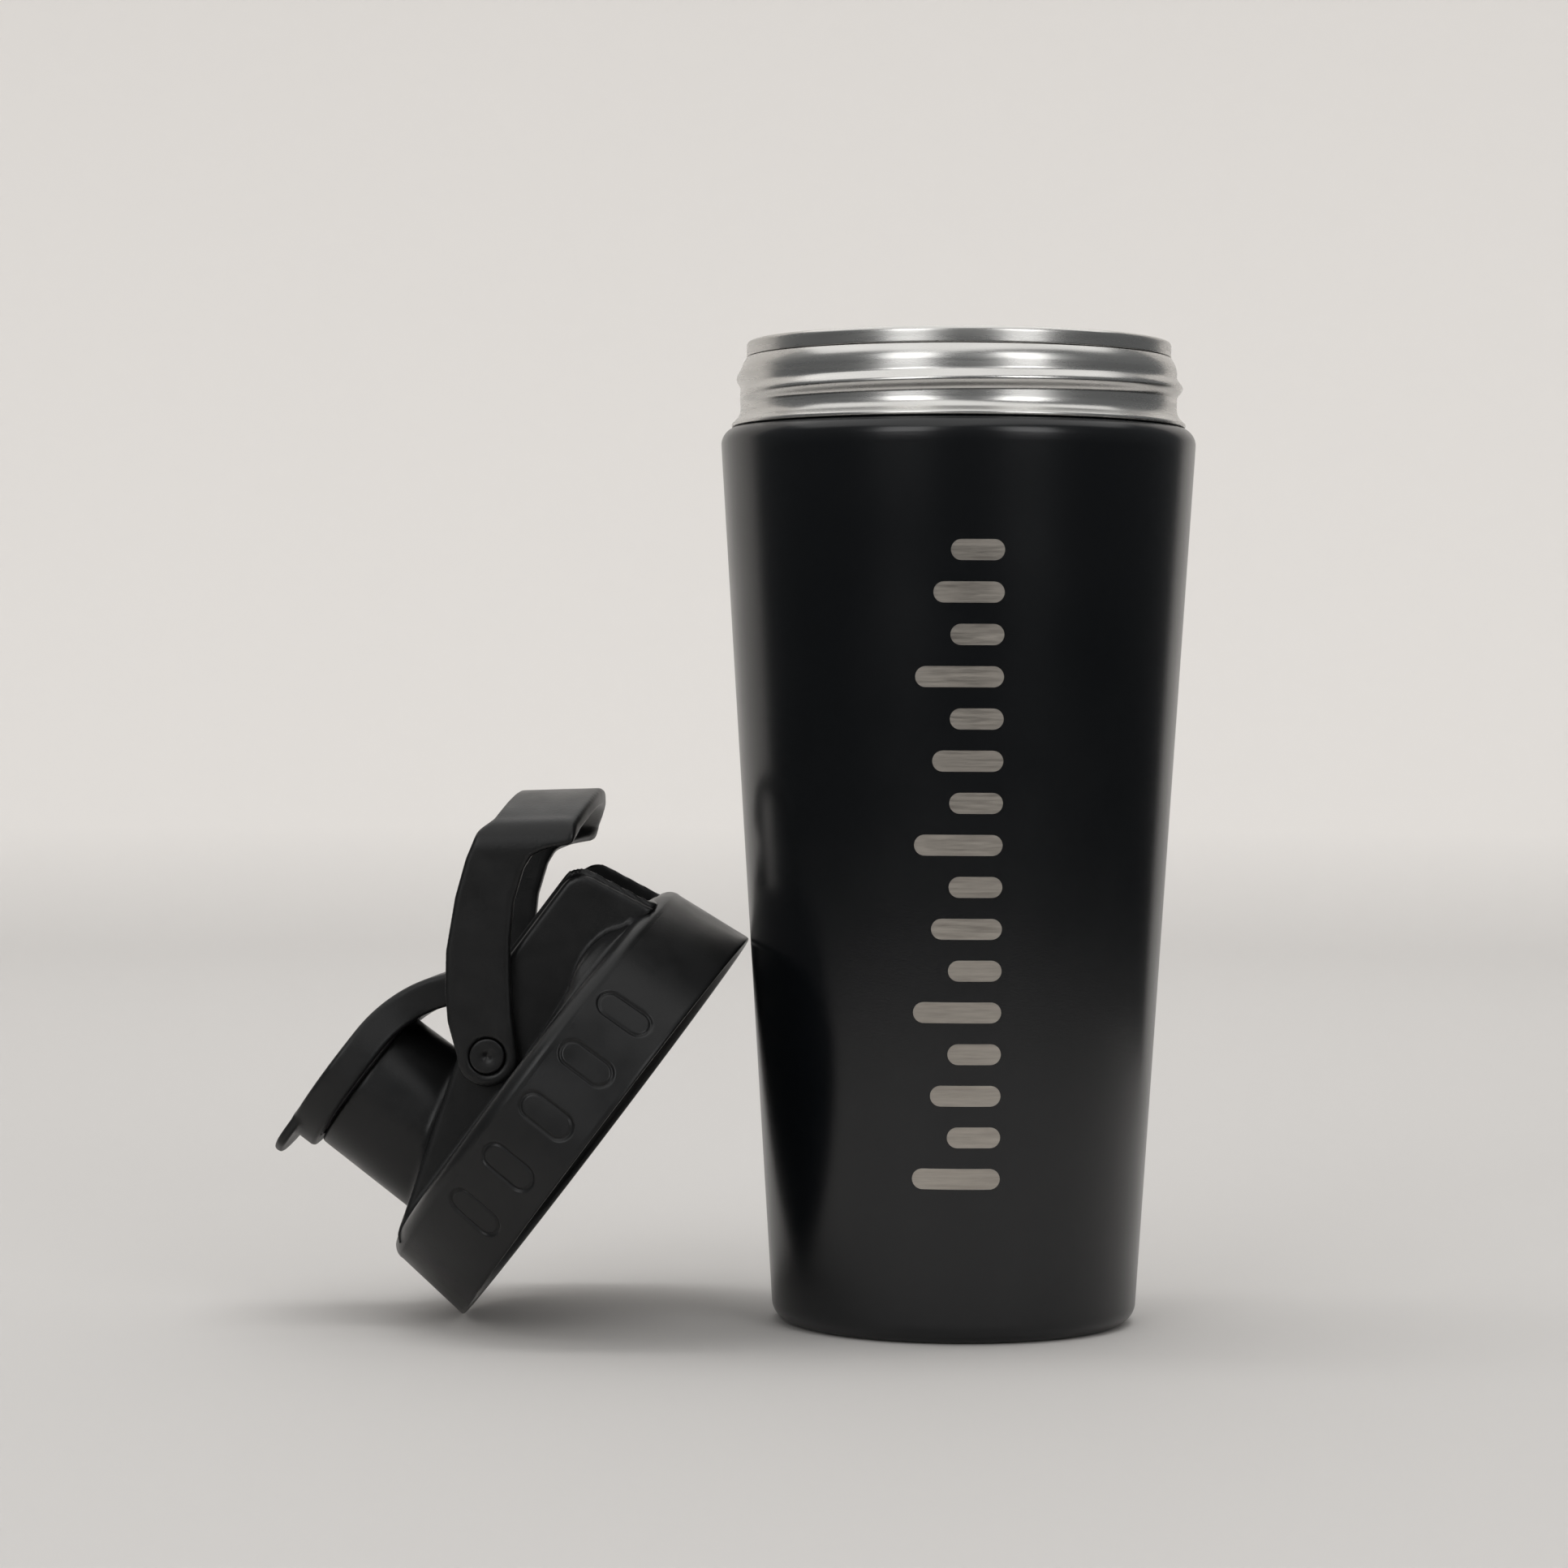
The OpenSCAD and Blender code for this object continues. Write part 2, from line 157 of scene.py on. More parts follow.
def arc(cx, cy, r, a0, a1, n):
    """Points of an arc, both ends included, angles in degrees."""
    angles = np.radians(np.linspace(a0, a1, n + 1))
    return [(cx + r * math.cos(a), cy + r * math.sin(a)) for a in angles]


def line(a, b, n):
    """Points from a to b, both ends included."""
    return [(a[0] + (b[0] - a[0]) * i / n, a[1] + (b[1] - a[1]) * i / n) for i in range(n + 1)]


# ---------------------------------------------------------------- meshes

def make_piece(name, points, faces, matrix, body, material, replaced=(), smooth=True):
    """A mesh piece, placed in the row frame and riding on a body."""
    mesh = bpy.data.meshes.new(name)
    mesh.from_pydata([tuple(p) for p in points], [], [tuple(f) for f in faces])
    mesh.transform(matrix)
    shape = bmesh.new()
    shape.from_mesh(mesh)
    if shape.calc_volume(signed=True) < 0:
        bmesh.ops.reverse_faces(shape, faces=shape.faces)
    shape.to_mesh(mesh)
    shape.free()
    mesh.update()
    mesh.polygons.foreach_set("use_smooth", [smooth] * len(mesh.polygons))
    piece = bpy.data.objects.new(name, mesh)
    bpy.context.scene.collection.objects.link(piece)
    mesh.materials.append(material)
    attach(piece, body)
    if replaced:
        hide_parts(*replaced)
    return piece


def lathe(profile, segments, displace=None):
    """Points and faces of a closed outline (r, z) turned about z, in even segments or at listed angles.
    A point with r = 0 becomes a pole. displace(angle, r, z) gives the new (r, z) of each point."""
    angles = segments
    if isinstance(segments, int):
        angles = np.linspace(0, 2 * math.pi, segments, endpoint=False)
    segments = len(angles)
    points, index = [], []
    for r, z in profile:
        if r < 1e-6:
            index.append([len(points)] * segments)
            points.append((0.0, 0.0, z))
            continue
        index.append(list(range(len(points), len(points) + segments)))
        for a in angles:
            rr, zz = displace(a, r, z) if displace else (r, z)
            points.append((rr * math.cos(a), rr * math.sin(a), zz))
    faces = []
    rings = len(profile)
    for i in range(rings):
        here, there = index[i], index[(i + 1) % rings]
        for s in range(segments):
            t = (s + 1) % segments
            corners = []
            for v in (here[s], here[t], there[t], there[s]):
                if v not in corners:
                    corners.append(v)
            if len(corners) > 2:
                faces.append(corners)
    return points, faces


# Signed distances, in millimetres, negative inside. Arrays are laid out [x, y, z].

def outline_distance(outline, px, py):
    """Signed distance to a closed 2D outline, on arrays px and py of one shape."""
    best = np.full(px.shape, 1e9)
    inside = np.zeros(px.shape, bool)
    count = len(outline)
    for i in range(count):
        ax, ay = outline[i]
        bx, by = outline[(i + 1) % count]
        ex, ey = bx - ax, by - ay
        wx, wy = px - ax, py - ay
        t = np.clip((wx * ex + wy * ey) / max(ex * ex + ey * ey, 1e-12), 0, 1)
        best = np.minimum(best, (wx - ex * t) ** 2 + (wy - ey * t) ** 2)
        if abs(ey) > 1e-12:
            crosses = (ay > py) != (by > py)
            inside ^= crosses & (px < ax + ex * (py - ay) / ey)
    return np.where(inside, -1, 1) * np.sqrt(best)


def round_and(a, b, r):
    """Intersection of two solids with its new edge rounded to radius r."""
    u, v = np.maximum(a + r, 0), np.maximum(b + r, 0)
    return np.minimum(np.maximum(a, b), -r) + np.sqrt(u * u + v * v)


def round_or(a, b, r):
    """Union of two solids with a fillet of radius r between them."""
    u, v = np.maximum(r - a, 0), np.maximum(r - b, 0)
    return np.maximum(np.minimum(a, b), r) - np.sqrt(u * u + v * v)


def cut(a, b, r):
    """Solid a less solid b, with the new edge rounded."""
    return round_and(a, -b, r)


class Grid:
    """A block of points over which a solid's distance is worked out."""

    def __init__(self, low, high, cell):
        self.low, self.cell = np.array(low, float), cell
        counts = [int(math.ceil((h - l) / cell)) + 1 for l, h in zip(low, high)]
        axes = [l + cell * np.arange(n) for l, n in zip(low, counts)]
        self.x = axes[0][:, None, None]
        self.y = axes[1][None, :, None]
        self.z = axes[2][None, None, :]

    def side(self, outline):
        """Distance to an outline in x and z, the same at every y."""
        px, pz = np.broadcast_arrays(self.x[:, 0, :], self.z[0, :, :])
        return outline_distance(outline, px, pz)[:, None, :]

    def tube(self, cx, cy, r):
        """Distance to an endless upright cylinder."""
        return np.sqrt((self.x - cx) ** 2 + (self.y - cy) ** 2) - r

    def pin(self, cx, cz, r):
        """Distance to an endless cylinder along y."""
        return np.sqrt((self.x - cx) ** 2 + (self.z - cz) ** 2) - r

    def slab_z(self, low, high):
        """Distance to the layer between two heights."""
        return np.abs(self.z - (low + high) / 2) - (high - low) / 2

    def slab_y(self, low, high):
        """Distance to the layer between two places across the lid."""
        return np.abs(self.y - (low + high) / 2) - (high - low) / 2

    def slab_x(self, low, high):
        """Distance to the layer between two places along the lid."""
        return np.abs(self.x - (low + high) / 2) - (high - low) / 2

    def surface(self, d):
        """Points and quads on the surface where d is zero (surface nets, then moved onto the surface)."""
        d = np.broadcast_to(d, (self.x.size, self.y.size, self.z.size)).astype(np.float32)
        inside = d < 0
        corners = [(i, j, k) for i in (0, 1) for j in (0, 1) for k in (0, 1)]

        def view(a, c):
            i, j, k = c
            return a[i:a.shape[0] - 1 + i, j:a.shape[1] - 1 + j, k:a.shape[2] - 1 + k]

        total = sum(view(inside, c).astype(np.int8) for c in corners)
        cells = np.argwhere((total > 0) & (total < 8))
        number = -np.ones(total.shape, np.int64)
        number[tuple(cells.T)] = np.arange(len(cells))
        summed, count = np.zeros((len(cells), 3)), np.zeros(len(cells))
        edges = [(a, b) for a in corners for b in corners
                 if a < b and sum(abs(p - q) for p, q in zip(a, b)) == 1]
        for a, b in edges:
            da = d[tuple((cells + a).T)]
            db = d[tuple((cells + b).T)]
            crossing = (da < 0) != (db < 0)
            t = np.where(crossing, da / np.where(crossing, da - db, 1), 0)[:, None]
            place = np.array(a) + t * (np.array(b) - np.array(a))
            summed += np.where(crossing[:, None], place, 0)
            count += crossing
        local = cells + summed / count[:, None]
        local = self._settle(d, local)
        faces = []
        for axis in range(3):
            others = [k for k in range(3) if k != axis]
            step = [0, 0, 0]
            step[axis] = 1
            a = inside[tuple(slice(0, s - t) for s, t in zip(inside.shape, step))]
            b = inside[tuple(slice(t, s) for s, t in zip(inside.shape, step))]
            for sign in (True, False):
                at = np.argwhere((a != b) & (a == sign))
                keep = np.all([(at[:, k] > 0) & (at[:, k] < inside.shape[k] - 1) for k in others], axis=0)
                at = at[keep]
                u, v = np.zeros(3, int), np.zeros(3, int)
                u[others[0]], v[others[1]] = 1, 1
                quad = [number[tuple((at - u - v).T)], number[tuple((at - v).T)], number[tuple(at.T)],
                        number[tuple((at - u).T)]]
                flip = sign != (axis == 1)
                quad = quad if flip else quad[::-1]
                faces.append(np.stack(quad, 1))
        return self.low + local * self.cell, np.concatenate(faces)

    def _settle(self, d, local):
        """Moves points onto the zero of d by a few steps down its slope."""
        shape = np.array(d.shape)

        def sample(p):
            i = np.clip(np.floor(p).astype(int), 0, shape - 2)
            f = p - i
            out = 0
            for c in ((a, b, e) for a in (0, 1) for b in (0, 1) for e in (0, 1)):
                w = np.prod(np.where(np.array(c) == 1, f, 1 - f), axis=1)
                out = out + w * d[tuple((i + np.array(c)).T)]
            return out

        for _ in range(3):
            value = sample(local)
            slope = np.stack([(sample(local + e) - sample(local - e)) / 1.0 for e in np.eye(3) * 0.5], 1)
            size = np.maximum((slope ** 2).sum(1), 0.2 * self.cell ** 2)
            move = -(value / size)[:, None] * slope
            local = local + np.clip(move, -0.35, 0.35) * 0.9
        return local


# ---------------------------------------------------------------- materials

class Paint:
    """A node material under construction: a Principled shader with helpers for its detail."""

    def __init__(self, name, color, roughness, metallic=0.0):
        self.material = bpy.data.materials.new(name)
        self.material.use_nodes = True
        self.nodes = self.material.node_tree.nodes
        self.links = self.material.node_tree.links
        self.shader = self.nodes["Principled BSDF"]
        self.shader.inputs["Base Color"].default_value = (*color, 1)
        self.shader.inputs["Roughness"].default_value = roughness
        self.shader.inputs["Metallic"].default_value = metallic
        self.place = self.nodes.new("ShaderNodeTexCoord").outputs["Object"]
        self.normal = None

    def scaled(self, scale):
        """Object coordinates multiplied by (x, y, z)."""
        node = self.nodes.new("ShaderNodeMapping")
        node.inputs["Scale"].default_value = scale
        self.links.new(self.place, node.inputs["Vector"])
        return node.outputs["Vector"]

    def noise(self, scale, detail=3.0, stretch=(1, 1, 1), rough=0.5):
        """Noise between 0 and 1. scale is in waves per metre."""
        node = self.nodes.new("ShaderNodeTexNoise")
        node.inputs["Scale"].default_value = scale
        node.inputs["Detail"].default_value = detail
        node.inputs["Roughness"].default_value = rough
        self.links.new(self.scaled(stretch), node.inputs["Vector"])
        return node.outputs["Fac"]

    def spread(self, value, low, high, out_low, out_high):
        """value from low..high stretched to out_low..out_high, and held at the ends."""
        node = self.nodes.new("ShaderNodeMapRange")
        ends = {"From Min": low, "From Max": high, "To Min": out_low, "To Max": out_high}
        for name, number in ends.items():
            node.inputs[name].default_value = number
        self.links.new(value, node.inputs["Value"])
        return node.outputs["Result"]

    def blend_color(self, factor, first, second):
        """Colour that goes from first to second with factor, on the base colour."""
        node = self.nodes.new("ShaderNodeMix")
        node.data_type = "RGBA"
        node.inputs["A"].default_value = (*first, 1)
        node.inputs["B"].default_value = (*second, 1)
        self.links.new(factor, node.inputs["Factor"])
        self.links.new(node.outputs["Result"], self.shader.inputs["Base Color"])

    def roughen(self, value):
        self.links.new(value, self.shader.inputs["Roughness"])

    def bump(self, height, distance, strength=1.0):
        """Adds relief, distance in metres, on top of any bump already there."""
        node = self.nodes.new("ShaderNodeBump")
        node.inputs["Strength"].default_value = strength
        node.inputs["Distance"].default_value = distance
        self.links.new(height, node.inputs["Height"])
        if self.normal:
            self.links.new(self.normal, node.inputs["Normal"])
        self.normal = node.outputs["Normal"]
        self.links.new(self.normal, self.shader.inputs["Normal"])


def coated_steel():
    """Satin black powder coat, faintly blue, with very fine orange peel."""
    paint = Paint("coated_steel", (0.0022, 0.0029, 0.0038), 0.24)
    paint.shader.inputs["Specular IOR Level"].default_value = 0.5
    fine = paint.noise(2600, 2)
    paint.bump(fine, 0.000012, 0.5)
    cloud = paint.noise(45, 3)
    paint.roughen(paint.spread(cloud, 0.3, 0.7, 0.22, 0.26))
    return paint.material


def brushed_steel(name, color, low, high, streaks):
    """Steel brushed round and round: streaks that run level, finer up than around."""
    paint = Paint(name, color, (low + high) / 2, 1.0)
    lines = paint.noise(60, 4, (1, 1, streaks), 0.6)
    paint.roughen(paint.spread(lines, 0.3, 0.7, low, high))
    paint.bump(lines, 0.00002, 0.35)
    patch = paint.noise(70, 2, (1, 1, 4))
    paint.blend_color(paint.spread(patch, 0.3, 0.7, 0, 1), tuple(c * 0.92 for c in color), color)
    return paint.material


def moulded_plastic(name, color, roughness, grain=0.00003, scale=2200):
    """Matte moulded plastic with a fine spark-eroded grain and faint handling marks."""
    paint = Paint(name, color, roughness)
    paint.shader.inputs["Specular IOR Level"].default_value = 0.33
    cells = paint.noise(scale, 2, rough=0.6)
    paint.bump(cells, grain, 0.6)
    cloud = paint.noise(160, 4)
    paint.roughen(paint.spread(cloud, 0.3, 0.7, roughness - 0.05, roughness + 0.05))
    paint.blend_color(paint.spread(cloud, 0.35, 0.65, 0, 1), tuple(c * 0.88 for c in color),
                      tuple(c * 1.12 for c in color))
    return paint.material


def silicone(name, color):
    paint = Paint(name, color, 0.6)
    paint.shader.inputs["Sheen Weight"].default_value = 0.15
    paint.bump(paint.noise(900, 2), 0.00002, 0.4)
    return paint.material


def bare_metal(name, color, roughness):
    paint = Paint(name, color, roughness, 1.0)
    wear = paint.noise(300, 4)
    paint.roughen(paint.spread(wear, 0.3, 0.7, roughness - 0.06, roughness + 0.08))
    paint.bump(wear, 0.00001, 0.3)
    return paint.material


def etched_steel():
    """Steel laid bare by the engraving: warm, and ribbed by the level passes of the tool."""
    paint = Paint("etched_steel", (0.46, 0.42, 0.37), 0.42, 1.0)
    lines = paint.noise(120, 3, (1, 1, 14), 0.7)
    paint.bump(lines, 0.00001, 0.35)
    paint.roughen(paint.spread(lines, 0.3, 0.7, 0.36, 0.5))
    paint.blend_color(paint.spread(lines, 0.25, 0.75, 0, 1), (0.36, 0.33, 0.295), (0.52, 0.48, 0.43))
    return paint.material


COATED = coated_steel()
NECK_STEEL = brushed_steel("brushed_steel", (0.64, 0.63, 0.61), 0.22, 0.32, 16)
LINER_STEEL = brushed_steel("liner_steel", (0.6, 0.59, 0.57), 0.22, 0.34, 10)
PLAIN_STEEL = bare_metal("plain_steel", (0.5, 0.5, 0.5), 0.35)
SOLDER = bare_metal("solder", (0.3, 0.3, 0.29), 0.5)
SILICONE = silicone("silicone", (0.035, 0.036, 0.038))
RUBBER = silicone("base_rubber", (0.012, 0.012, 0.0125))
LID_PLASTIC = moulded_plastic("lid_plastic", (0.0062, 0.0064, 0.0067), 0.34)
CAP_PLASTIC = moulded_plastic("cap_plastic", (0.0068, 0.007, 0.0072), 0.42)
HANDLE_PLASTIC = moulded_plastic("handle_plastic", (0.0066, 0.0068, 0.007), 0.36, 0.00005, 1700)
GRID_PLASTIC = moulded_plastic("grid_plastic", (0.012, 0.0122, 0.0125), 0.35)
PIN_STEEL = bare_metal("pin_steel", (0.55, 0.55, 0.55), 0.25)
PIN_PLASTIC = moulded_plastic("pin_plastic", (0.008, 0.0082, 0.0085), 0.34)
ETCHED = etched_steel()


# ---------------------------------------------------------------- bottle

SEGMENTS = 256


def build_outer_shell():
    outside = arc(FOOT_R - FOOT_ROUND, FOOT_ROUND, FOOT_ROUND, -84, 0, 16)
    outside += line((wall_r(6), 6), (wall_r(SHOULDER_H - 5), SHOULDER_H - 5), 40)
    outside += arc(SHOULDER_R - SHOULDER_ROUND, SHOULDER_H - SHOULDER_ROUND, SHOULDER_ROUND, 2, 90, 18)
    edge = [(NECK_R + 0.05, SHOULDER_H), (NECK_R + 0.05, SHOULDER_H - OUTER_WALL)]
    inner_top = [(SHOULDER_R - SHOULDER_ROUND, SHOULDER_H - OUTER_WALL)]
    inside = inner_top + [(wall_r(SHOULDER_H - 5) - OUTER_WALL, SHOULDER_H - 5), (wall_r(6) - OUTER_WALL, 6)]
    inside += arc(FOOT_R - FOOT_ROUND, FOOT_ROUND, FOOT_ROUND - OUTER_WALL, 0, -84, 8)
    points, faces = lathe(outside + edge + inside, SEGMENTS)
    make_piece("body_shell", points, faces, BOTTLE, "bottle", COATED, ["outer_shell"])


def thread_height(angle, z):
    """Share of the rolled thread's full height at an angle and height."""
    best = 0.0
    for turn in (-1, 0, 1):
        t = turn + (angle - THREAD_START) / (2 * math.pi)
        d = abs(z - (THREAD_LOW + THREAD_PITCH * t))
        if 0 < t < THREAD_TURNS and d < THREAD_HALF_W:
            fade = min(1, t / 0.11, (THREAD_TURNS - t) / 0.11)
            fade = fade * fade * (3 - 2 * fade)
            best = max(best, fade * (0.5 + 0.5 * math.cos(math.pi * d / THREAD_HALF_W)))
    return best


def neck_base(z):
    """Radius of the neck beside its thread: it flares out onto the shoulder and draws in under the lip."""
    flare_round = 3.0
    d = SHOULDER_H + 3.5 - z
    flare = 0.0
    if d > 0:
        bend = min(d, 0.707 * flare_round)
        flare = flare_round - math.sqrt(flare_round ** 2 - bend ** 2) + d - bend
    u = max(0, (z - (LIP_H - LIP_BAND_H) + 3.2) / 3.2)
    return NECK_R + flare - (NECK_R - LIP_R + 0.15) * u * u


def build_neck():
    """Neck with its rolled thread. Its flared foot rests on the shoulder."""
    top, foot = LIP_H - LIP_BAND_H - 0.12, SHOULDER_H + 0.6
    edge = neck_base(foot)
    outside = [(NECK_R, NECK_FOOT), (NECK_R, SHOULDER_H + 0.12)]
    outside += [(SHOULDER_R - SHOULDER_ROUND, SHOULDER_H + 0.12)]
    outside += [(edge - 0.25, SHOULDER_H - 0.1), (edge, SHOULDER_H + 0.02), (edge + 0.05, SHOULDER_H + 0.3)]
    outside += [(neck_base(z), z) for z in np.linspace(foot, top, 84)]
    inside = [(LIP_R - 0.15 - NECK_WALL, top), (NECK_R - NECK_WALL, NECK_FOOT)]

    def roll(angle, r, z):
        return r + (THREAD_RISE * thread_height(angle, z) if r > LIP_R - 0.2 else 0), z

    points, faces = lathe(outside + inside, 2 * SEGMENTS, roll)
    make_piece("neck_thread", points, faces, BOTTLE, "bottle", NECK_STEEL, ["threaded_neck"])


def build_liner():
    high = SHOULDER_H - 6
    low = LINER_FLOOR + LINER_ROUND
    band = LIP_H - LIP_BAND_H
    outside = [(liner_r(low), low), (liner_r(high), high), (MOUTH_R + LINER_WALL, SHOULDER_H + 1),
               (MOUTH_R + LINER_WALL, band - 0.02)]
    outside += arc(LIP_R - 0.12, band + 0.12, 0.12, -90, 0, 4)
    outside += line((LIP_R, band + 0.3), (LIP_R, LIP_H - 1), 5)
    outside += arc(LIP_R - 0.8, LIP_H - 0.8, 0.8, 5, 90, 8) + arc(MOUTH_R + 0.6, LIP_H - 0.6, 0.6, 90, 180, 8)
    inside = line((MOUTH_R, LIP_H - 2), (MOUTH_R, SHOULDER_H + 1.5), 8)
    inside += arc(MOUTH_R - 3, SHOULDER_H + 1.5, 3, 0, -1, 1)[1:]
    inside += line((liner_r(high) - LINER_WALL, high - 1), (liner_r(low) - LINER_WALL, low), 30)
    points, faces = lathe(outside + inside, SEGMENTS)
    make_piece("liner_and_lip", points, faces, BOTTLE, "bottle", LINER_STEEL, ["inner_vessel"])
    r, step = liner_r(low), LINER_ROUND
    bottom = line((0, LINER_FLOOR), (r - step, LINER_FLOOR), 3) + arc(r - step, low, step, -88, 0, 14)
    bottom += arc(r - step, low, step - LINER_WALL, 0, -88, 14)
    bottom += line((r - step, LINER_FLOOR + LINER_WALL), (r - 14, LINER_FLOOR + LINER_WALL), 3)
    bottom += line((r - 15, LINER_FLOOR + LINER_WALL + 0.5), (0, LINER_FLOOR + LINER_WALL + 0.9), 6)
    points, faces = lathe(bottom, SEGMENTS)
    make_piece("liner_bottom", points, faces, BOTTLE, "bottle", LINER_STEEL, ["inner_bottom"])


def build_base():
    """Rubber disc that the bottle stands on, with a groove near its edge."""
    r = FOOT_R - FOOT_ROUND - 0.3
    outline = [(0, 0), (r - 5.2, 0)] + arc(r - 4.6, 0, 0.4, 180, 0, 8) + [(r - 4.0, 0), (r - 0.9, 0)]
    outline += arc(r - 0.7, 0.7, 0.7, -90, 0, 6)[1:] + [(r, 2.3), (0, 2.3)]
    points, faces = lathe(outline, SEGMENTS)
    make_piece("base_disc", points, faces, BOTTLE, "bottle", RUBBER, ["base_cover"])


def build_mark():
    """Plain engraved ladder of bars up the front, a generic pattern in place of any lettering."""
    z_low, z_high = 31.5, 148.5
    widths = (16.5, 10.0, 13.2, 10.0)
    bars, height, right = 16, 3.9, 7.6
    turn = math.radians(-0.5)
    lift, depth, columns = 0.02, 0.15, 24
    points, faces = [], []

    def place(z, u, sunk):
        """Point on the wall at a height and at u millimetres round it from the middle of the front."""
        r = wall_r(z) + lift - sunk
        a = turn - math.pi / 2 + u / wall_r(z)
        return r * math.cos(a), r * math.sin(a), z

    for i in range(bars):
        width = widths[i % len(widths)]
        middle = z_low + (z_high - z_low) * i / (bars - 1)
        first = len(points)
        for c in range(columns + 1):
            # Columns crowd towards the round ends
            across = -math.cos(math.pi * c / columns)
            u = right - width / 2 + across * width / 2
            inset = max(0, height / 2 - (width / 2 - abs(across * width / 2)))
            half = max(0.02, math.sqrt((height / 2) ** 2 - inset ** 2))
            points += [place(middle - half, u, 0), place(middle + half, u, 0),
                       place(middle + half, u, depth), place(middle - half, u, depth)]
        for c in range(columns):
            here, there = first + 4 * c, first + 4 * (c + 1)
            faces += [(here + k, there + k, there + (k + 1) % 4, here + (k + 1) % 4) for k in range(4)]
        faces += [tuple(first + k for k in range(4)), tuple(first + 4 * columns + 3 - k for k in range(4))]
    make_piece("engraved_bars", points, faces, BOTTLE, "bottle", ETCHED, smooth=False)


# ---------------------------------------------------------------- lid

def grip_depth(angle, z):
    """Depth of the grips at an angle round the skirt and a height: a groove round a slightly sunk pad."""
    depth = 0.0
    for middle in (-90, 90):
        for i in range(-2, 3):
            off = (math.degrees(angle) - middle - i * GRIP_PITCH + 180) % 360 - 180
            if abs(off) > 6:
                continue
            u = math.radians(off) * RIM_R
            edge = 2.95 - math.hypot(u, max(abs(z - 9.3) - 3.0, 0))
            if edge > 0:
                groove = 0.5 - 0.5 * math.cos(2 * math.pi * min(edge / 0.9, 1))
                pad = min(edge / 0.9, 1)
                depth = 0.42 * groove + 0.2 * pad
    return depth


def skirt_angles():
    """Angles round the skirt, six times as close over the grips as elsewhere."""
    angles = []
    for quarter in range(4):
        start = math.radians(-45 + 90 * quarter)
        count = 360 if quarter % 2 else 60
        angles += [start + math.pi / 2 * i / count for i in range(count)]
    return angles


def build_skirt():
    """Skirt of the lid and the outer ring of its roof, with the grip recesses pressed in."""
    outside = arc(RIM_R - 0.5, 0.5, 0.5, -90, 0, 6)
    outside += line((RIM_R, 0.8), (RIM_R - 1.5, 16.0), 62)
    outside += arc(RIM_R - 4.6, SKIRT_H - 3.2, 3.15, 8, 90, 16)
    roof = [(39.5, SKIRT_H - 0.04), (39.5, ROOF_UNDER)]
    inside = arc(SKIRT_BORE_R - 0.6, ROOF_UNDER - 0.6, 0.6, 90, 0, 5)
    inside += line((SKIRT_BORE_R, 15.4), (SKIRT_BORE_R, 1.4), 8)
    inside += [(SKIRT_BORE_R + 0.9, 0.3), (SKIRT_BORE_R + 1.2, 0)]

    def press(angle, r, z):
        if r > RIM_R - 2.2 and 2 < z < 17:
            return r - grip_depth(angle, z), z
        return r, z

    points, faces = lathe(outside + roof + inside, skirt_angles(), press)
    make_piece("lid_skirt", points, faces, LID, "lid", LID_PLASTIC, ["lid_shell"])


def housing_side(inset):
    """Side outline of the raised housing."""
    outline = [(-40.4 + 2 * inset, SKIRT_H - 1.6), (-38.6 + 1.6 * inset, SKIRT_H - inset)]
    outline += [(8.2 + 0.3 * inset, 34.8 - inset)]
    outline += arc(34.6 - inset, 30.4 - inset, 4.4, 90, 8, 10)
    outline += [(41.2 - inset, SKIRT_H - 1.6)]
    return outline


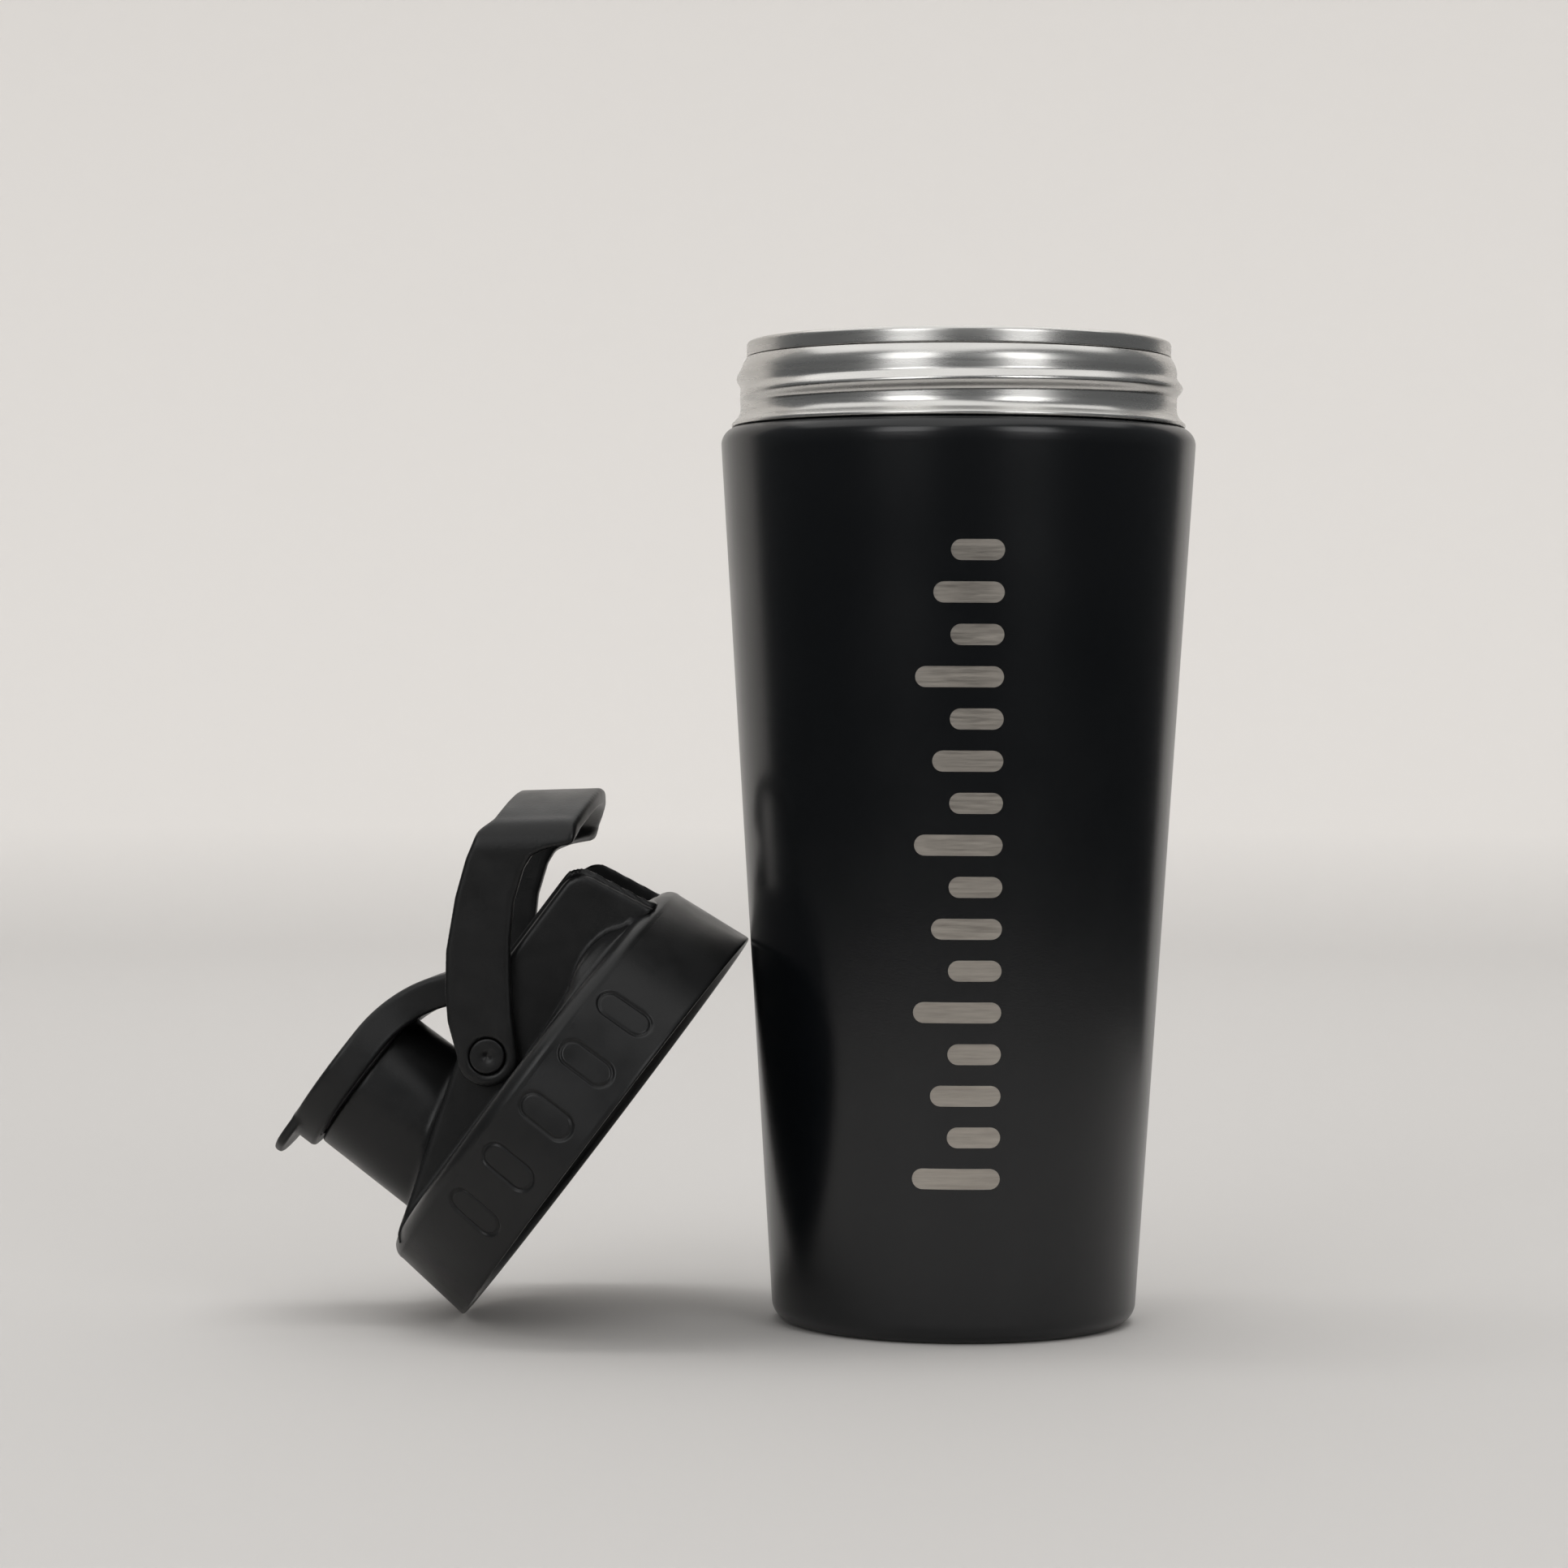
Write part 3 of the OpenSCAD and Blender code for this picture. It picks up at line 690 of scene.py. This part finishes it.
def build_housing():
    """Raised part of the lid: sloping roof, two cheeks, ledges for the handle's arms, and the spout."""
    grid = Grid((-43, -42, 16.2), (43, 42, 44.5), 0.55)
    low_end = np.maximum(grid.side(housing_side(0)), grid.slab_x(-60, PIVOT.x - 2))
    block = round_and(np.minimum(low_end, grid.side(housing_side(0.5))), grid.slab_y(-CHEEK_Y, CHEEK_Y), 0.8)
    crown = np.maximum(grid.side(housing_side(-0.6)), grid.slab_x(PIVOT.x - 2, 60))
    crown = round_and(crown, grid.slab_y(1.9 - CHEEK_Y, CHEEK_Y - 1.9), 0.7)
    block = round_or(block, crown, 0.4)
    channel_side = [(CHANNEL_X, SKIRT_H + 0.4), (CHANNEL_X - 0.8, 60), (70, 60), (70, SKIRT_H + 0.4)]
    hollow = np.maximum(grid.side(channel_side), grid.slab_y(-CHANNEL_Y, CHANNEL_Y))
    block = cut(block, hollow, 0.8)
    ledge_side = [(4, SKIRT_H - 1.6)] + arc(27, 9, 13.6, 122, 44, 14) + [(40.5, SKIRT_H - 1.6)]
    ledge = round_and(grid.side(ledge_side), grid.tube(0, 0, 40.6), 2.6)
    ledge = np.maximum(ledge, -grid.slab_y(-CHEEK_Y + 1, CHEEK_Y - 1))
    deck = np.maximum(grid.tube(0, 0, 41.3), grid.slab_z(ROOF_UNDER, SKIRT_H))
    solid = round_or(deck, ledge, 2.2)
    solid = round_or(solid, block, 0.9)
    spout = round_and(grid.tube(-SPOUT_X, 0, 1) - (SPOUT_R - 1) - 0.012 * (SPOUT_H - grid.z),
                      grid.slab_z(SKIRT_H - 2, SPOUT_H), 0.7)
    solid = round_or(solid, spout, 1.6)
    solid = cut(solid, np.maximum(grid.tube(-SPOUT_X, 0, SPOUT_R - 2.2), grid.slab_z(10, 60)), 0.5)
    under = np.maximum(grid.side(housing_side(2.4)), grid.slab_y(-CHANNEL_Y, CHANNEL_Y))
    under = np.maximum(under, grid.slab_x(-60, CHANNEL_X - 2.4))
    solid = np.maximum(solid, -under)
    solid = np.maximum(solid, -(grid.pin(PIVOT.x, PIVOT.z, 2.2) + 0 * grid.y))
    points, faces = grid.surface(solid)
    make_piece("lid_housing", points, faces, LID, "lid", LID_PLASTIC)


def build_lid_thread():
    """Thread ridge inside the skirt."""
    turns, steps = 1.5, 240
    points, faces = [], []
    section = [(0.3, -1.2), (-0.1, -1.0), (-0.7, -0.35), (-0.8, 0), (-0.7, 0.35), (-0.1, 1.0), (0.3, 1.2)]
    n = len(section)
    for s in range(steps + 1):
        f = s / steps
        size = max(0.02, min(1, f * 10, (1 - f) * 10))
        a = 2 * math.pi * turns * f
        for dr, dz in section:
            r = SKIRT_BORE_R + (dr * size if dr < 0 else dr)
            points.append((r * math.cos(a), r * math.sin(a), 3.4 + THREAD_PITCH * turns * f + dz))
    for s in range(steps):
        for i in range(n):
            j = (i + 1) % n
            faces.append((s * n + i, s * n + j, (s + 1) * n + j, (s + 1) * n + i))
    faces += [tuple(range(n - 1, -1, -1)), tuple(steps * n + i for i in range(n))]
    make_piece("thread_ridge", points, faces, LID, "lid", LID_PLASTIC, ["lid_thread"])


def build_gasket():
    outline = [(38.5, 16.5), (38.5, 14.6)] + arc(39.0, 14.5, 0.5, 180, 270, 5)
    outline += arc(40.5, 14.0, 0.6, 180, 360, 8) + arc(42.0, 14.6, 0.6, -90, 0, 5) + [(42.6, 16.5)]
    points, faces = lathe(outline[::-1], SEGMENTS)
    make_piece("gasket_ring", points, faces, LID, "lid_seal", SILICONE, ["lid_gasket"])


def build_grid():
    grid = Grid((-38, -38, 12.6), (38, 38, 17.6), 0.5)
    disc = round_and(grid.tube(0, 0, 37.0), grid.slab_z(13.3, 14.9), 0.3)
    cell, bar = 8.5, 2.0
    for i in range(-3, 4):
        for j in range(-3, 4):
            if math.hypot(i, j) * (cell + bar) < 31:
                u = np.abs(grid.x - i * (cell + bar)) - cell / 2
                v = np.abs(grid.y - j * (cell + bar)) - cell / 2
                disc = cut(disc, round_and(u, v, 1.0) + 0 * grid.z, 0.3)
    wall = np.maximum(np.abs(grid.tube(0, 0, 36.2)) - 0.8, grid.slab_z(13.6, 16.9))
    points, faces = grid.surface(round_or(disc, wall, 0.4))
    make_piece("powder_grid", points, faces, LID, "lid", GRID_PLASTIC, ["mixing_grid"])


def build_pin(name, node, side):
    """Headed pivot pin with a dimple in its head, a raised lip round it and a fine gap to the arm."""
    outline = [(0, 0.55), (0.35, 0.5), (0.75, 0.2), (1.3, 0.06), (2.4, 0.0)]
    outline += arc(PIN_R - 0.4, 0.4, 0.4, -90, 0, 6) + [(PIN_R, 2.0), (2.2, 2.05), (2.2, 7.2), (0, 7.2)]
    points, faces = lathe(outline, 96)
    turn = Matrix.Rotation(math.radians(side * 90), 4, "X")
    place = Matrix.Translation((PIVOT.x, side * ARM_OUT, PIVOT.z))
    make_piece(name, points, faces, LID @ place @ turn, "lid", PIN_PLASTIC, [node])


# ---------------------------------------------------------------- flip cap

def cap_side(depth):
    radius = CAP_TOP - ARC_Z
    outline = [(-SPOUT_X - 24, CAP_TOP - depth), (-SPOUT_X - 24, CAP_TOP)]
    outline += arc(ARC_X, ARC_Z, radius, 90, 2, 30) + arc(ARC_X, ARC_Z, radius - depth, 2, 90, 30)
    return outline


def build_flip_cap():
    grid = Grid((-45.5, -18.6, 19.5), (17.6, 18.6, 51), 0.42)
    head = grid.tube(-SPOUT_X, 0, CAP_HEAD_R)
    half = CAP_ARM_W / 2
    arm = np.maximum(np.abs(grid.y) - half, -(grid.x + SPOUT_X - 4)) + 0 * grid.z
    plan = round_or(head, arm, 6.0)
    body = round_and(grid.side(cap_side(CAP_DEPTH)), plan, 0.8)
    tab_plan = round_and(grid.tube(-SPOUT_X - 7, 0, 15.0), np.abs(grid.y) - 10.5, 3.0)
    tab = round_and(grid.side(cap_side(1.9)), tab_plan, 0.75)
    body = round_or(body, tab, 0.5)
    barrel = round_and(grid.pin(HINGE.x, HINGE.z, 4.0), grid.slab_y(-half, half), 0.5)
    body = round_or(body, barrel, 1.2)
    under = CAP_TOP - CAP_DEPTH
    seal = np.maximum(grid.tube(-SPOUT_X, 0, 14.3), grid.slab_z(under - 10, under + 2.2))
    body = cut(body, seal, 0.3)
    relief = np.maximum(grid.tube(-SPOUT_X, 0, SPOUT_R + 0.5), grid.z - (under + 0.2))
    body = cut(body, relief, 0.2)
    body = np.maximum(body, -grid.pin(HINGE.x, HINGE.z, 1.56) + 0 * grid.y)
    points, faces = grid.surface(body)
    make_piece("cap_moulding", points, faces, LID, "flip_cap", CAP_PLASTIC, ["flip_cap"])


def build_spout_seal():
    low = CAP_TOP - CAP_DEPTH + 0.1
    outline = [(0, low - 2.4), (9.0, low - 2.4)] + arc(9.2, low - 1.9, 0.5, -90, -20, 4)
    outline += [(12.0, low), (13.9, low + 0.02)]
    outline += arc(13.9, low + 0.4, 0.4, -90, 0, 4) + [(14.3, low + 2.1), (0, low + 2.1)]
    points, faces = lathe(outline, 128)
    points = [(x - SPOUT_X, y, z) for x, y, z in points]
    make_piece("seal_plug", points, faces, LID, "flip_cap", SILICONE, ["spout_seal"])


# ---------------------------------------------------------------- handle

def arm_outline():
    """Side outline of a handle arm from the pivot to the crossbar, with the pivot at the origin."""
    outline = arc(0, 0, 5.8, -58, -232, 20)
    outline += [(0.6, 10), (5.1, 14), (11.2, 18.4), (20.4, 23.2), (27.5, 26), (31.4, 27)]
    outline += arc(32.6, 25.3, 1.9, 90, 38, 6) + arc(42.2, 14.6, 1.2, 38, -90, 6)
    outline += [(38.8, 15.4), (35.7, 16.4), (32.7, 16.1), (26.5, 13.8), (20.4, 10.1), (14.3, 5.4), (8.9, 0.9)]
    return outline


def build_handle():
    cell = 0.45
    grid = Grid((-7.2, -25.6, -7.2), (54.0, 25.6, 28.6), cell)
    arm_layer = np.abs(np.abs(grid.y) - (ARM_IN + ARM_OUT) / 2) - ARM_T / 2
    arm = round_and(grid.side(arm_outline()), arm_layer, 0.8)
    top, low = np.array((33.9, 26.6)), np.array((44.4, 13.5))
    length = float(np.linalg.norm(low - top))
    along = (low - top) / length
    inwards = np.array((along[1], -along[0]))
    share = np.clip(1 - (grid.y / ARM_OUT) ** 2, 0, 1)
    px, pz = grid.x - BOW * share - top[0], grid.z - BOW_RISE * share - top[1]
    u = px * along[0] + pz * along[1]
    v = px * inwards[0] + pz * inwards[1]
    bar = round_and(np.abs(u - length / 2) - length / 2, np.abs(v - 1.7) - 1.7, 1.1)
    bar = round_and(bar, np.abs(grid.y) - ARM_OUT, 0.8)
    solid = round_or(arm, bar, 3.0)
    solid = round_and(solid, np.abs(grid.y) - ARM_OUT + 0 * grid.x, 0.8)
    # The arms' outer sides roll over into the crossbar
    outwards = -((grid.x - top[0]) * inwards[0] + (grid.z - top[1]) * inwards[1])
    slope = math.atan(1.74 * BOW / ARM_OUT)
    reach = BAR_ROLL * math.tan((math.pi / 2 - slope) / 2)
    beside, above = np.abs(grid.y) - (ARM_OUT - BAR_ROLL), outwards + reach
    turn = np.clip(np.arctan2(above, beside), 0, math.pi / 2 - slope)
    roll = beside * np.cos(turn) + above * np.sin(turn) - BAR_ROLL
    solid = round_and(solid, roll, 0.8)
    bore = np.maximum(grid.pin(0, 0, PIN_R + 0.16), (ARM_OUT - 2.1) - np.abs(grid.y))
    bore = np.minimum(bore, grid.pin(0, 0, 2.3) + 0 * grid.y)
    solid = cut(solid, bore, 0.15)
    points, faces = grid.surface(solid)
    points = points + np.array((PIVOT.x, 0, PIVOT.z))
    make_piece("handle_loop", points, faces, LID, "handle", HANDLE_PLASTIC,
               ["carry_handle"])


# ---------------------------------------------------------------- pieces that keep their CAD shape

def repaint(node, material):
    """Gives a CAD node its material."""
    slots = frame["nodes"][node].data.materials
    slots.clear()
    slots.append(material)


# ---------------------------------------------------------------- stage, light and camera

def build_stage():
    """Seamless pale cove all round: floor, a wide curve, and a round wall. Its front and sides stay out of
    the reflections, as in a dim room, and the table near the object and the backdrop show in them."""
    near, floor_r, bend, height = 0.4, 1.2, 0.7, 2.6
    turns, backdrop_left, backdrop_right = 144, math.radians(-62), math.radians(46)
    profile = [(0.0, 0.0), (near, 0.0), (floor_r, 0.0)]
    profile += [(floor_r + bend * math.sin(a), bend - bend * math.cos(a))
                for a in np.linspace(0, math.pi / 2, 24)[1:]]
    profile += [(floor_r + bend, height)]
    # Painted shade: the same paper is coloured darker on the floor and up to 5 cm up the curve, standing in
    # for the floor lying in less light than the wall
    pale, painted_shade = (0.62, 0.605, 0.59), (0.5, 0.49, 0.48)
    paint = Paint("cove_paper", pale, 0.8)
    split = paint.nodes.new("ShaderNodeSeparateXYZ")
    paint.links.new(paint.place, split.inputs["Vector"])
    paint.blend_color(paint.spread(split.outputs["Z"], 0.0, 0.05, 0, 1), painted_shade, pale)
    paper = paint.material
    points = [(r * math.sin(2 * math.pi * s / turns), r * math.cos(2 * math.pi * s / turns), z)
              for r, z in profile for s in range(turns)]
    shown, hidden = [], []
    for i in range(len(profile) - 1):
        for s in range(turns):
            t = (s + 1) % turns
            middle = 2 * math.pi * ((s + 0.5) / turns - (s >= turns / 2))
            behind = backdrop_left < middle < backdrop_right
            face = (i * turns + s, i * turns + t, (i + 1) * turns + t, (i + 1) * turns + s)
            (shown if behind or i == 0 else hidden).append(face if i else face[2:] + (0,))
    for name, faces, glossy in (("cove_backdrop", shown, True), ("cove_front", hidden, False)):
        mesh = bpy.data.meshes.new(name)
        mesh.from_pydata(points, [], faces)
        mesh.polygons.foreach_set("use_smooth", [True] * len(mesh.polygons))
        mesh.materials.append(paper)
        part = bpy.data.objects.new(name, mesh)
        bpy.context.scene.collection.objects.link(part)
        part.visible_glossy = glossy


def area_light(name, place, aim, size, power, glossy=True, color=(1, 1, 1)):
    light = bpy.data.lights.new(name, "AREA")
    light.shape = "RECTANGLE"
    light.size, light.size_y = size
    light.energy = power
    light.color = color
    holder = bpy.data.objects.new(name, light)
    bpy.context.scene.collection.objects.link(holder)
    holder.location = place
    holder.rotation_euler = (Vector(aim) - Vector(place)).to_track_quat("-Z", "Y").to_euler()
    holder.visible_camera = False
    holder.visible_glossy = glossy
    return holder


def build_light():
    world = bpy.data.worlds.new("studio")
    bpy.context.scene.world = world
    world.use_nodes = True
    nodes, links = world.node_tree.nodes, world.node_tree.links
    # A dim room: a little light above the table's level, nearly none below it
    way = nodes.new("ShaderNodeSeparateXYZ")
    links.new(nodes.new("ShaderNodeTexCoord").outputs["Generated"], way.inputs["Vector"])
    level = nodes.new("ShaderNodeMapRange")
    for name, number in (("From Min", -0.08), ("From Max", 0.06), ("To Min", 0.03), ("To Max", 0.17)):
        level.inputs[name].default_value = number
    links.new(way.outputs["Z"], level.inputs["Value"])
    background = nodes["Background"]
    background.inputs["Color"].default_value = (0.95, 0.98, 1.0, 1)
    links.new(level.outputs["Result"], background.inputs["Strength"])
    warm = (1.0, 0.99, 0.975)
    area_light("top_soft", (-0.1, 0.1, 1.7), (-0.05, 0.05, 0), (3.2, 2.8), 29, True, warm)
    area_light("wall_wash", (0.0, 0.2, 2.2), (0, 1.9, 0.7), (2.2, 0.6), 23, False, warm)
    for name, azimuth, width in (("panel_left", -28, 0.62), ("panel_right", 33, 0.58)):
        a = math.radians(azimuth)
        place = (1.35 * math.sin(a), -1.35 * math.cos(a), 0.68)
        area_light(name, place, (0, 0, 0.2), (width, 0.8), 4.0, True, (1, 1, 1))


def build_camera():
    """Long-lens camera in front, a little left of the bottle and a hand above the table."""
    data = bpy.data.cameras.new("camera")
    data.sensor_width = 36
    data.lens = 36 * 5257.6 / 1932
    camera = bpy.data.objects.new("camera", data)
    bpy.context.scene.collection.objects.link(camera)
    pitch, yaw, roll = math.radians(1.22), math.radians(-0.243), math.radians(0.274)
    place = Vector((-29.98, -830.5, 121.92)) * MM
    forward = Vector((math.sin(yaw) * math.cos(pitch), math.cos(yaw) * math.cos(pitch), -math.sin(pitch)))
    right = Vector((math.cos(yaw), -math.sin(yaw), 0))
    up = right.cross(forward)
    side = right * math.cos(roll) + up * math.sin(roll)
    top = up * math.cos(roll) - right * math.sin(roll)
    turn = Matrix((side, top, -forward)).transposed().to_4x4()
    camera.matrix_world = Matrix.Translation(place) @ turn
    bpy.context.scene.camera = camera


build_outer_shell()
build_neck()
build_liner()
build_base()
build_mark()
build_skirt()
build_housing()
build_lid_thread()
build_gasket()
build_grid()
build_pin("pivot_front", "handle_pin_front", -1)
build_pin("pivot_rear", "handle_pin_rear", 1)
build_flip_cap()
build_spout_seal()
build_handle()
repaint("vacuum_base", PLAIN_STEEL)
repaint("vacuum_seal", SOLDER)
repaint("getter", SOLDER)
repaint("cap_hinge_pin", PIN_STEEL)
build_stage()
build_light()
build_camera()
bpy.context.scene.view_settings.view_transform = "Standard"
